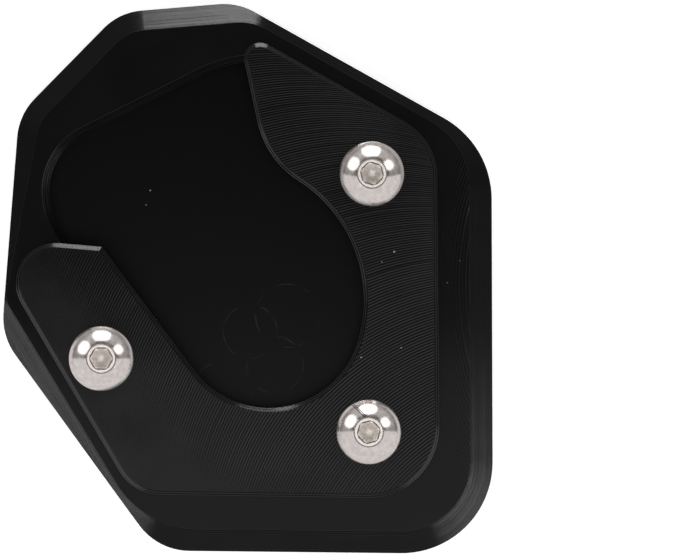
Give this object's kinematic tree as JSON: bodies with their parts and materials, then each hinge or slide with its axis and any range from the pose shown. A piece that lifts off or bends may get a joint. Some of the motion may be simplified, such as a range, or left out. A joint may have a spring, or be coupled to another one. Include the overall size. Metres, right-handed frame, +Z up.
{
  "type": "kickstand foot enlarger",
  "caption": "Broad foot for a motorcycle side stand: a bevelled base plate with a pocket for the stand's foot, under a C-shaped clamp plate with button-head screws.",
  "frame": {"origin": "on the sole, under the middle of the base plate's outline", "axes": "+Z up from the sole to the screw heads; +Y along the plate's longer side, towards the narrow end where the clamp plate's tip is; +X towards the long straight side"},
  "size_m": [0.071, 0.0797, 0.0178],
  "materials": {
    "black_aluminium": "black anodised over fine milling marks",
    "stainless_steel": "cold-forged and polished"
  },
  "bodies": {
    "root": {"base_plate": "black_aluminium", "clamp_plate": "black_aluminium", "clamp_screws": "stainless_steel"}
  },
  "joints": []
}
